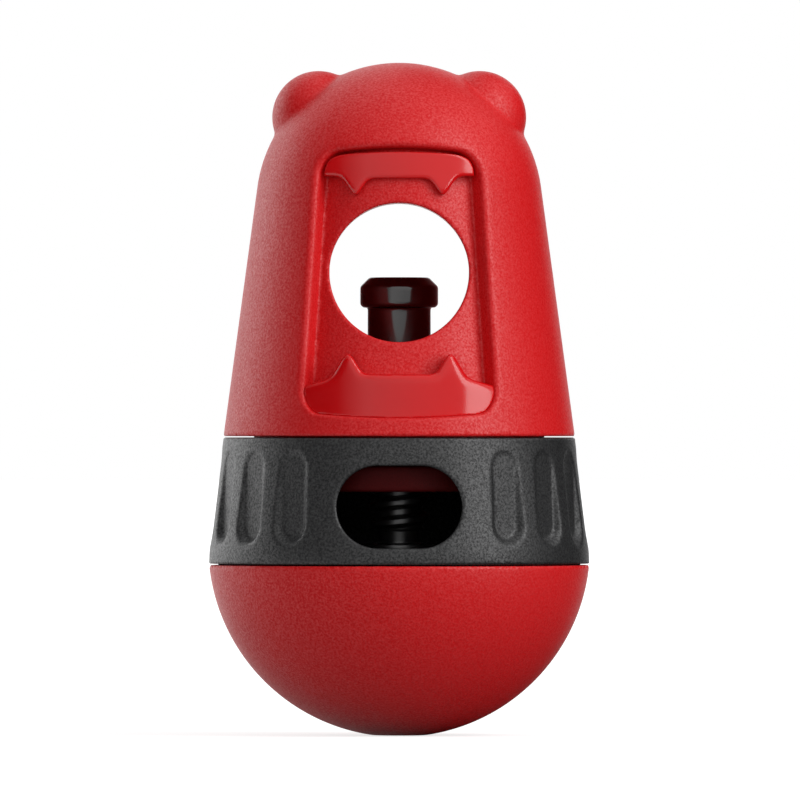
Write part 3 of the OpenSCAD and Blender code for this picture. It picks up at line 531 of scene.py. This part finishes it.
def carve(name, formula, sizes, low, high, cell, material, ring=None, flipped=False):
    """One finished mesh object from a shape formula; ring gives the places of its copies."""
    tree = bpy.data.node_groups.new(name + "_carving", "GeometryNodeTree")
    tree.interface.new_socket("Geometry", in_out="INPUT", socket_type="NodeSocketGeometry")
    values = {}
    for label, value in {**sizes, **(ring or {})}.items():
        kind = "NodeSocketInt" if isinstance(value, int) else "NodeSocketFloat"
        socket = tree.interface.new_socket(label, in_out="INPUT", socket_type=kind)
        socket.default_value = value
        values[socket.identifier] = value
    tree.interface.new_socket("Geometry", in_out="OUTPUT", socket_type="NodeSocketGeometry")
    given, result = tree.nodes.new("NodeGroupInput"), tree.nodes.new("NodeGroupOutput")
    shape = shape_group(name, formula, sizes)
    low, high = [side * MM for side in low], [side * MM for side in high]
    mesh = carved_mesh(tree, given, shape, sizes, low, high, cell * MM)
    if ring:
        mesh = on_circle(tree, given, mesh, flipped)
    for kind in ("GeometryNodeRealizeInstances", "GeometryNodeSetShadeSmooth", "GeometryNodeSetMaterial"):
        node = tree.nodes.new(kind)
        tree.links.new(mesh, node.inputs[0])
        mesh = node.outputs[0]
    node.inputs["Material"].default_value = material
    tree.links.new(mesh, result.inputs[0])
    piece = bpy.data.objects.new(name, bpy.data.meshes.new(name))
    bpy.context.scene.collection.objects.link(piece)
    modifier = piece.modifiers.new("carving", "NODES")
    modifier.node_group = tree
    for identifier, value in values.items():
        modifier[identifier] = value
    finished = bpy.data.meshes.new_from_object(piece.evaluated_get(bpy.context.evaluated_depsgraph_get()))
    piece.modifiers.clear()
    blank, piece.data = piece.data, finished
    bpy.data.meshes.remove(blank)
    finished.name = name
    return piece


def cut_at_weld(piece, keep_front):
    """Cuts a head half flat at the weld line and closes the cut."""
    work = bmesh.new()
    work.from_mesh(piece.data)
    side = 1.0 if keep_front else -1.0
    cut = bmesh.ops.bisect_plane(work, geom=work.verts[:] + work.edges[:] + work.faces[:], dist=WELD_SNAP,
                                 plane_co=(0, 0, 0), plane_no=(0, side, 0), clear_outer=True)
    rim = [part for part in cut["geom_cut"] if isinstance(part, bmesh.types.BMEdge)]
    for face in bmesh.ops.triangle_fill(work, edges=rim, use_beauty=True, use_dissolve=False)["geom"]:
        if isinstance(face, bmesh.types.BMFace):
            face.normal_update()
            if face.normal.y * side < 0:
                face.normal_flip()
            face.smooth = False
    work.to_mesh(piece.data)
    work.free()


# Finishes
DRIFT_SCALE, SCUFF_STRETCH, PATCH_SCALE = 45.0, (1.0, 1.0, 0.12), 60.0
SCUFF_FROM, SCUFF_STEEP, PATCH_FROM, PATCH_STEEP = 0.56, 6.0, 0.42, 4.0
LEAST_ROUGH, GRAIN_HEIGHT, GLINT_CONTRAST = 0.05, 0.10, 7.0


def new_group(name, inputs, outputs):
    tree = bpy.data.node_groups.new(name, "ShaderNodeTree")
    for label, kind, value in inputs:
        socket = tree.interface.new_socket(label, in_out="INPUT", socket_type="NodeSocket" + kind)
        socket.default_value = value
    for label, kind in outputs:
        tree.interface.new_socket(label, in_out="OUTPUT", socket_type="NodeSocket" + kind)
    return tree, tree.nodes.new("NodeGroupInput"), tree.nodes.new("NodeGroupOutput")


def new_material(name):
    material = bpy.data.materials.new(name)
    material.use_nodes = True
    return material, material.node_tree, material.node_tree.nodes["Principled BSDF"]


def noise(tree, scale, detail, roughness=0.5, stretch=None):
    """A noise value on the piece's own coordinates; scale is a number or a value field."""
    spot = tree.nodes.new("ShaderNodeTexCoord").outputs["Object"]
    if stretch:
        turn = tree.nodes.new("ShaderNodeMapping")
        turn.inputs["Scale"].default_value = stretch
        tree.links.new(spot, turn.inputs["Vector"])
        spot = turn.outputs[0]
    node = tree.nodes.new("ShaderNodeTexNoise")
    tree.links.new(spot, node.inputs["Vector"])
    if isinstance(scale, Field):
        tree.links.new(scale.socket, node.inputs["Scale"])
    else:
        node.inputs["Scale"].default_value = scale
    node.inputs["Detail"].default_value = detail
    node.inputs["Roughness"].default_value = roughness
    return Field(tree, node.outputs[0])


def moulded_grain():
    """Spark-eroded mould skin: fine speckle over a slow drift, as colour, roughness, height and glint."""
    amounts = {"Grain scale": 1600.0, "Speckle": 0.2, "Drift": 0.08, "Roughness": 0.5,
               "Roughness spread": 0.15, "Glint": 0.0, "Glint spread": 0.0}
    inputs = [("Colour", "Color", (0.5, 0.5, 0.5, 1))]
    inputs += [(label, "Float", amount) for label, amount in amounts.items()]
    tree, given, result = new_group(
        "moulded_grain", inputs,
        (("Colour", "Color"), ("Roughness", "Float"), ("Height", "Float"), ("Glint", "Float")))
    value = {label: Field(tree, given.outputs[label]) for label in amounts}
    fine = noise(tree, value["Grain scale"], detail=2.0, roughness=0.6)
    slow = noise(tree, DRIFT_SCALE, detail=2.0)
    shade = (fine - 0.5) * value["Speckle"] + (slow - 0.5) * value["Drift"] + 1.0
    colour = vector_node(tree, "SCALE", Field(tree, given.outputs["Colour"]), shade)
    rough = value["Roughness"] + (fine + slow - 1.0) * value["Roughness spread"]
    glint = value["Glint"] + (fine - 0.5) * value["Glint spread"]
    for label, made in (("Colour", colour), ("Roughness", limit(rough, LEAST_ROUGH, 1.0)), ("Height", fine),
                        ("Glint", limit(glint, 0.0, 1.0))):
        tree.links.new(made.socket, result.inputs[label])
    return tree


def rubbed_marks():
    """Faint handling marks: thin stretched scuffs that break up a gloss."""
    tree, given, result = new_group("rubbed_marks", (("Scale", "Float", 300.0), ("Amount", "Float", 0.3)),
                                    (("Mask", "Float"),))
    scale, amount = (Field(tree, given.outputs[label]) for label in ("Scale", "Amount"))
    scuffs = noise(tree, scale, detail=3.0, roughness=0.6, stretch=SCUFF_STRETCH)
    patches = noise(tree, PATCH_SCALE, detail=1.0)
    mask = (limit((scuffs - SCUFF_FROM) * SCUFF_STEEP, 0.0, 1.0)
            * limit((patches - PATCH_FROM) * PATCH_STEEP, 0.0, 1.0) * amount)
    tree.links.new(mask.socket, result.inputs["Mask"])
    return tree


GRAIN, MARKS = moulded_grain(), rubbed_marks()


def finish(name, colour, rough, spread, grain, speckle, drift, bump,
           marks=0.0, level=0.5, metal=0.0, coat=0.0, glint=0.0):
    """A plastic, rubber or metal finish from the shared grain and marks; glint speckles the coat."""
    material, tree, shader = new_material(name)
    shader.inputs["Specular IOR Level"].default_value = level
    shader.inputs["Metallic"].default_value = metal
    shader.inputs["Coat Weight"].default_value = coat
    shader.inputs["Coat Roughness"].default_value = rough
    skin = tree.nodes.new("ShaderNodeGroup")
    skin.node_tree = GRAIN
    for label, value in (("Colour", (*colour, 1)), ("Grain scale", grain), ("Speckle", speckle),
                         ("Drift", drift), ("Roughness", rough), ("Roughness spread", spread),
                         ("Glint", glint), ("Glint spread", glint * GLINT_CONTRAST)):
        skin.inputs[label].default_value = value
    if glint:
        tree.links.new(skin.outputs["Glint"], shader.inputs["Coat Weight"])
    tree.links.new(skin.outputs["Colour"], shader.inputs["Base Color"])
    roughness = Field(tree, skin.outputs["Roughness"])
    if marks:
        rubbed = tree.nodes.new("ShaderNodeGroup")
        rubbed.node_tree = MARKS
        rubbed.inputs["Amount"].default_value = marks
        roughness = limit(roughness + Field(tree, rubbed.outputs["Mask"]), LEAST_ROUGH, 1.0)
    tree.links.new(roughness.socket, shader.inputs["Roughness"])
    raised = tree.nodes.new("ShaderNodeBump")
    raised.inputs["Strength"].default_value = bump
    raised.inputs["Distance"].default_value = GRAIN_HEIGHT * MM
    tree.links.new(skin.outputs["Height"], raised.inputs["Height"])
    tree.links.new(raised.outputs[0], shader.inputs["Normal"])
    return material


red_grain = finish("red_grain", (0.60, 0.006, 0.008), rough=0.45, spread=0.12, grain=2300.0, speckle=0.35,
                   drift=0.05, bump=1.0, level=0.18, glint=0.42)
# Painted shade: a darker copy of the shell red for the retaining ring, which sits in shadow behind the
# window
red_painted_shade = finish("red_painted_shade", (0.050, 0.0015, 0.002), rough=0.5, spread=0.10, grain=1500.0, speckle=0.30,
                  drift=0.10, bump=0.6, level=0.08)
red_polish = finish("red_polish", (0.60, 0.004, 0.006), rough=0.12, spread=0.05, grain=260.0, speckle=0.05,
                    drift=0.06, bump=0.06, marks=0.08, level=0.45)
charcoal_grain = finish("charcoal_grain", (0.014, 0.014, 0.0145), rough=0.45, spread=0.12, grain=2300.0,
                        speckle=0.9, drift=0.12, bump=1.0, level=0.25, glint=0.5)
black_polish = finish("black_polish", (0.006, 0.002, 0.002), rough=0.14, spread=0.05, grain=300.0,
                      speckle=0.3, drift=0.2, bump=0.05, marks=0.10, level=1.0)
black_stem = finish("black_stem", (0.012, 0.011, 0.011), rough=0.36, spread=0.05, grain=300.0, speckle=0.3,
                    drift=0.2, bump=0.05, marks=0.06, level=1.0, coat=1.0)
black_satin = finish("black_satin", (0.015, 0.013, 0.013), rough=0.42, spread=0.12, grain=1100.0,
                     speckle=0.4, drift=0.2, bump=0.4, marks=0.15)
ivory_acetal = finish("ivory_acetal", (0.72, 0.70, 0.62), rough=0.34, spread=0.10, grain=700.0, speckle=0.06,
                      drift=0.06, bump=0.15, marks=0.2)
soft_rubber = finish("soft_rubber", (0.020, 0.020, 0.020), rough=0.72, spread=0.16, grain=1300.0,
                     speckle=0.35, drift=0.2, bump=0.5)
cast_iron = finish("cast_iron", (0.18, 0.18, 0.19), rough=0.62, spread=0.25, grain=420.0, speckle=0.7,
                   drift=0.35, bump=1.0, metal=0.85)
bright_steel = finish("bright_steel", (0.55, 0.56, 0.58), rough=0.28, spread=0.12, grain=900.0, speckle=0.12,
                      drift=0.1, bump=0.15, marks=0.2, metal=1.0)


# Pieces
def box_mm(node):
    low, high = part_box(node)
    return [side / MM for side in low], [side / MM for side in high]


def round_room(radius, margin, low, high):
    """Corners of the box in which a round piece is carved."""
    side = radius + margin
    return {"low": (-side, -side, low), "high": (side, side, high)}


def seat(piece, body, slot, *nodes):
    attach(piece, body)
    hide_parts(*nodes)


HEAD_SIZES = {"Ear radius": EAR_R, "Ear crease": 0.9, "Wall": HEAD_WALL, "Lower edge": 0.2, "Mouth rim": 2.2,
              "Floor corner": 0.25, "Tunnel radius": TUNNEL_R, "Tunnel edge": 0.6}
PAST_WELD = 1.2
for half, cell, first_y, last_y in (("front", 0.52, -HEAD_R - 1.0, PAST_WELD),
                                    ("rear", 0.56, -PAST_WELD, HEAD_R + 1.0)):
    shell = carve("head_%s_shell" % half, head_shape, HEAD_SIZES,
                  low=(-HEAD_R - 1.0, first_y, HEAD_Z0 - 1.2), high=(HEAD_R + 1.0, last_y, HEAD_TOP + 1.0),
                  cell=cell, material=red_grain)
    cut_at_weld(shell, half == "front")
    seat(shell, "head", "red_shell", "head_" + half)

lower_gum = carve("lower_gum_skin", lower_gum_shape,
                  {"Edge height": 72.2, "End fall": 0.26, "End run": 12.0, "End place": 30.0,
                   "Tooth height": 5.7, "Tooth lean": 0.54, "Tooth tip": 0.9, "Tooth place": 10.2,
                   "Tooth root": 1.8, "Round edge": 2.0, "Lean back": 0.0,
                   "Far height": MOUTH_Z0 - 9.0, "Far arch": 0.0},
                  low=(-20.6, -HEAD_R, MOUTH_Z0 - 0.8), high=(20.6, -19.0, 77.6), cell=0.26,
                  material=red_polish)
seat(lower_gum, "head", "red_gloss", "lower_gum")
upper_gum = carve("upper_gum_skin", upper_gum_shape,
                  {"Edge height": 111.1, "End fall": 0.15, "End run": 3.0, "End place": 15.0,
                   "Tooth height": 4.6, "Tooth lean": 0.58, "Tooth tip": 0.8, "Tooth place": 8.7,
                   "Tooth root": 2.0, "Round edge": 1.3, "Lean back": 0.12,
                   "Far height": 116.45, "Far arch": 0.004},
                  low=(-18.0, -28.0, 106.8), high=(18.0, -16.5, 118.6), cell=0.24, material=red_polish)
seat(upper_gum, "head", "red_gloss", "upper_gum")

band = carve("grip_band_shell", band_shape,
             {"Flute places": 20.0, "Flute width": 5.7, "Flute draft": 0.72, "Flute edge": 0.9,
              "Window width": 24.9, "Window height": 16.4, "Window edge": 0.7, "Edge softness": 0.25},
             **round_room(BOWL_R, 0.8, SPIGOT_Z - 1.0, BAND_Z1 + 1.0), cell=0.5, material=charcoal_grain)
seat(band, "band", "charcoal_band", "grip_band")

bowl = carve("base_bowl_shell", bowl_shape, {"Rim softness": 0.25},
             **round_room(BOWL_R, 1.0, -1.0, RIM_Z + 1.0), cell=0.6, material=red_grain)
seat(bowl, "base", "red_shell", "base_bowl")

plunger = carve("clamp_pad", plunger_shape, {"Pad radius": PAD_R, "Pad chamfer": 1.85},
                **round_room(PAD_R, 0.8, PLUNGER_LOW - 0.8, PAD_TOP + 0.8), cell=0.22, material=black_polish)
seat(plunger, "clamp", "black_gloss", "clamp_plunger")

stem = carve("threaded_stem", screw_stem_shape, {"Thread lead": SCREW_LEAD, "Flange radius": 8.0},
             low=(-8.8, -8.8, 14.3), high=(8.8, 8.8, 80.6), cell=0.2, material=black_stem)
seat(stem, "clamp", "black_gloss", "lead_screw")

# The retaining ring takes the darker red, painted shade for the shadow it sits in
ring = carve("retaining_ring_skin", retainer_shape, {"Edge softness": 1.2},
             **round_room(RETAINER_R, 0.8, RETAINER_Z0 - 0.8, RETAINER_Z1 + 0.8), cell=0.45,
             material=red_painted_shade)
seat(ring, "head", "red_shell", "retaining_ring")

# Each set of screws: count, circle radius, first angle, step, skew of every second one, head up, body
SCREW_SETS = {"cover_screws": (3, BOSS_CIRCLE, 90.0, 120.0, 0.0, True, "base"),
              "spider_screws": (3, SPIGOT_BORE_R + 1.9, 90.0, 120.0, 0.0, False, "band"),
              "neck_screws": (4, COLLAR_R - 2.0, 20.0, 90.0, 50.0, False, "head"),
              "retainer_screws": (4, COLLAR_R - 2.0, 60.0, 90.0, -30.0, False, "head"),
              "plunger_screw": (1, 0.0, 0.0, 0.0, 0.0, True, "clamp")}
for node, (count, circle, first, step, skew, head_up, body) in SCREW_SETS.items():
    low, high = box_mm(node)
    seat_z = high[2] - SCREW_HEAD_H if head_up else low[2] + SCREW_HEAD_H
    length = seat_z - low[2] if head_up else high[2] - seat_z
    screws = carve(node + "_set", small_screw_shape, {"Length": length},
                   low=(-SCREW_ROOM, -SCREW_ROOM, -length - 0.5),
                   high=(SCREW_ROOM, SCREW_ROOM, SCREW_HEAD_H + 0.5), cell=0.15, material=bright_steel,
                   ring={"Count": count, "Circle": circle, "First": first, "Step": step, "Skew": skew,
                         "Seat": seat_z},
                   flipped=not head_up)
    seat(screws, body, "screw_steel", node)

for node, material in (("counterweight", cast_iron), ("weight_cover", black_satin),
                       ("seal_ring", soft_rubber), ("drive_spider", black_satin),
                       ("neck_collar", red_grain), ("clamp_nut", ivory_acetal),
                       ("plunger_guide", ivory_acetal)):
    kept = bpy.data.objects[node]
    if not kept.data.materials:
        kept.data.materials.append(material)
    for place in kept.material_slots:
        place.material = material

# Studio: the fill on the feeder, the floor's glow and the painted shade in its reflection, the flags, and
# the view
AIM, FILL = Vector((0.0, 0.0, 0.068)), 0.75
FLOOR_R, FLOOR_GREY, FLOOR_GLOW, GLOW_RISE, GLOW_GAIN = 14.0, 0.42, 0.75, 0.4, 0.22
# Painted shadow near the foot and painted shade towards the right, both only in the floor's reflection and
# weaker behind the feeder
DIM_FOOT, DIM_FOOT_R, DIM_FOOT_FADE, DIM_FOOT_LEAST = 0.62, 0.03, 6.0, 0.2
DIM_RIGHT, DIM_FRONT, DIM_LEFT_MOST, DIM_RIGHT_MOST = 0.62, 0.42, -0.3, 0.97
BEHIND_FROM, BEHIND_STEEP, BEHIND_FOOT, BEHIND_LIT = 0.8, 5.0, 0.6, 0.4
FLAG_STEPS, FLAG_BLACK = 16, (0.01, 0.01, 0.01, 1)
LENS, SENSOR_W, FAR_CLIP, VIEW_W, VIEW_X, VIEW_Z = 1000.0, 36.0, 60.0, 0.160, 0.00016, 0.06706


def background_rays(tree):
    """One for rays that show the backdrop itself: seen straight, mirrored or through glass."""
    path = tree.nodes.new("ShaderNodeLightPath")
    straight, mirrored, through = (Field(tree, path.outputs[label]) for label in
                                   ("Is Camera Ray", "Is Glossy Ray", "Is Transmission Ray"))
    return most(most(straight, mirrored), through)


def ground_place(tree):
    """How far a point lies to the right and to the back."""
    spot = tree.nodes.new("ShaderNodeSeparateXYZ")
    tree.links.new(tree.nodes.new("ShaderNodeTexCoord").outputs["Object"], spot.inputs[0])
    return Field(tree, spot.outputs["X"]), Field(tree, spot.outputs["Y"])


def studio_piece(name, work, material):
    """A mesh object of the studio from its mesh work."""
    mesh = bpy.data.meshes.new(name)
    work.to_mesh(mesh)
    work.free()
    mesh.materials.append(material)
    thing = bpy.data.objects.new(name, mesh)
    bpy.context.scene.collection.objects.link(thing)
    return thing


def build_world():
    """White wherever the backdrop shows, and a weaker even fill on the feeder."""
    world = bpy.data.worlds.new("studio")
    bpy.context.scene.world = world
    world.use_nodes = True
    tree = world.node_tree
    backdrop = tree.nodes["Background"]
    backdrop.inputs["Color"].default_value = (1, 1, 1, 1)
    strength = background_rays(tree) * (1.0 - FILL) + FILL
    tree.links.new(strength.socket, backdrop.inputs["Strength"])


def build_floor():
    """A floor that is white to the camera; in its reflection a painted shadow lies near the foot and painted
    shade towards the right.
    """
    material, tree, shader = new_material("pale_floor")
    shader.inputs["Roughness"].default_value = 0.9
    shader.inputs["Specular IOR Level"].default_value = 0.0
    shader.inputs["Emission Color"].default_value = (1, 1, 1, 1)
    to_right, back = ground_place(tree)
    away = reach(to_right, back)
    path = tree.nodes.new("ShaderNodeLightPath")
    straight, mirrored = (Field(tree, path.outputs[label]) for label in ("Is Camera Ray", "Is Glossy Ray"))
    # Painted shadow near the foot and painted shade towards the right, seen only in the floor's reflection;
    # both are weaker behind the feeder
    behind = limit((back / (away + TINY) - BEHIND_FROM) * BEHIND_STEEP, 0.0, 1.0)
    painted_foot_shadow = limit(1.0 - (away - DIM_FOOT_R) * DIM_FOOT_FADE, DIM_FOOT_LEAST, 1.0)
    painted_foot_shadow = painted_foot_shadow * (1.0 - straight) * (1.0 - behind * BEHIND_FOOT)
    shade = limit(to_right / (away + TINY) * DIM_RIGHT + DIM_FRONT, DIM_LEFT_MOST, DIM_RIGHT_MOST)
    kept = 1.0 - (shade - behind * BEHIND_LIT) * mirrored
    tree.links.new((kept * FLOOR_GREY).socket, shader.inputs["Base Color"])
    glow = limit(away * GLOW_RISE, 0.0, GLOW_GAIN) + FLOOR_GLOW - painted_foot_shadow * DIM_FOOT
    tree.links.new((background_rays(tree) * glow * kept).socket, shader.inputs["Emission Strength"])
    work = bmesh.new()
    bmesh.ops.create_circle(work, cap_ends=True, segments=96, radius=FLOOR_R)
    floor = studio_piece("floor", work, material)


def dark_flag(name, first, last, fade_in, fade_out, low, high, density=1.0, away=1.3):
    """A curved dark card round the feeder, as studios use to keep reflections off; never seen itself."""
    material, tree, shader = new_material(name)
    shader.inputs["Base Color"].default_value = FLAG_BLACK
    shader.inputs["Roughness"].default_value = 1.0
    to_right, back = ground_place(tree)
    turn = to_right.math("ARCTAN2", -back)
    start = limit((turn - math.radians(first)) / math.radians(fade_in), 0.0, 1.0)
    end = limit((math.radians(last) - turn) / math.radians(fade_out), 0.0, 1.0)
    tree.links.new((start * end * density).socket, shader.inputs["Alpha"])
    work = bmesh.new()
    rows = []
    for step in range(FLAG_STEPS + 1):
        angle = math.radians(first + (last - first) * step / FLAG_STEPS)
        side = (math.sin(angle) * away, -math.cos(angle) * away)
        rows.append([work.verts.new((*side, height)) for height in (low, high)])
    for near, far in zip(rows, rows[1:]):
        work.faces.new((near[0], far[0], far[1], near[1]))
    card = studio_piece(name, work, material)
    card.visible_camera = False
    card.visible_shadow = False


def softbox(name, azimuth, height, distance, width, tall, power, mirrored=True):
    """A soft panel round the feeder; azimuth turns from the front to the right."""
    lamp = bpy.data.lights.new(name, "AREA")
    lamp.shape, lamp.size, lamp.size_y, lamp.energy = "RECTANGLE", width, tall, power
    panel = bpy.data.objects.new(name, lamp)
    turn, lift = math.radians(azimuth), math.radians(height)
    away = Vector((math.sin(turn) * math.cos(lift), -math.cos(turn) * math.cos(lift), math.sin(lift)))
    panel.location = AIM + away * distance
    panel.rotation_euler = away.to_track_quat("Z", "Y").to_euler()
    panel.visible_camera = False
    panel.visible_glossy = mirrored
    bpy.context.scene.collection.objects.link(panel)


def build_camera():
    """A long lens straight in front: the photograph shows almost no perspective."""
    lens = bpy.data.cameras.new("camera")
    lens.lens, lens.sensor_width, lens.clip_end = LENS, SENSOR_W, FAR_CLIP
    eye = bpy.data.objects.new("camera", lens)
    eye.location = (VIEW_X, -VIEW_W * LENS / SENSOR_W, VIEW_Z)
    eye.rotation_euler = (math.pi / 2, 0.0, 0.0)
    bpy.context.scene.collection.objects.link(eye)
    bpy.context.scene.camera = eye


build_world()
build_floor()
softbox("key_right", azimuth=57.0, height=24.0, distance=1.0, width=0.40, tall=1.2, power=7.2)
softbox("back_left", azimuth=-125.0, height=16.0, distance=1.0, width=0.6, tall=0.6, power=1.4)
softbox("front_fill", azimuth=-35.0, height=18.0, distance=1.2, width=0.8, tall=0.8, power=1.5,
        mirrored=False)
dark_flag("flag_left", first=-85.0, last=-22.0, fade_in=1.0, fade_out=21.0, low=0.0, high=0.9)
dark_flag("flag_high_left", first=-128.0, last=-15.0, fade_in=20.0, fade_out=30.0, low=0.62, high=2.4,
          density=0.75, away=1.36)
dark_flag("flag_right", first=78.0, last=158.0, fade_in=25.0, fade_out=6.0, low=0.0, high=0.9)
dark_flag("flag_high_right", first=125.0, last=179.0, fade_in=20.0, fade_out=1.0, low=0.9, high=3.0,
          density=0.9, away=1.36)
build_camera()
bpy.context.scene.view_settings.view_transform = "Standard"
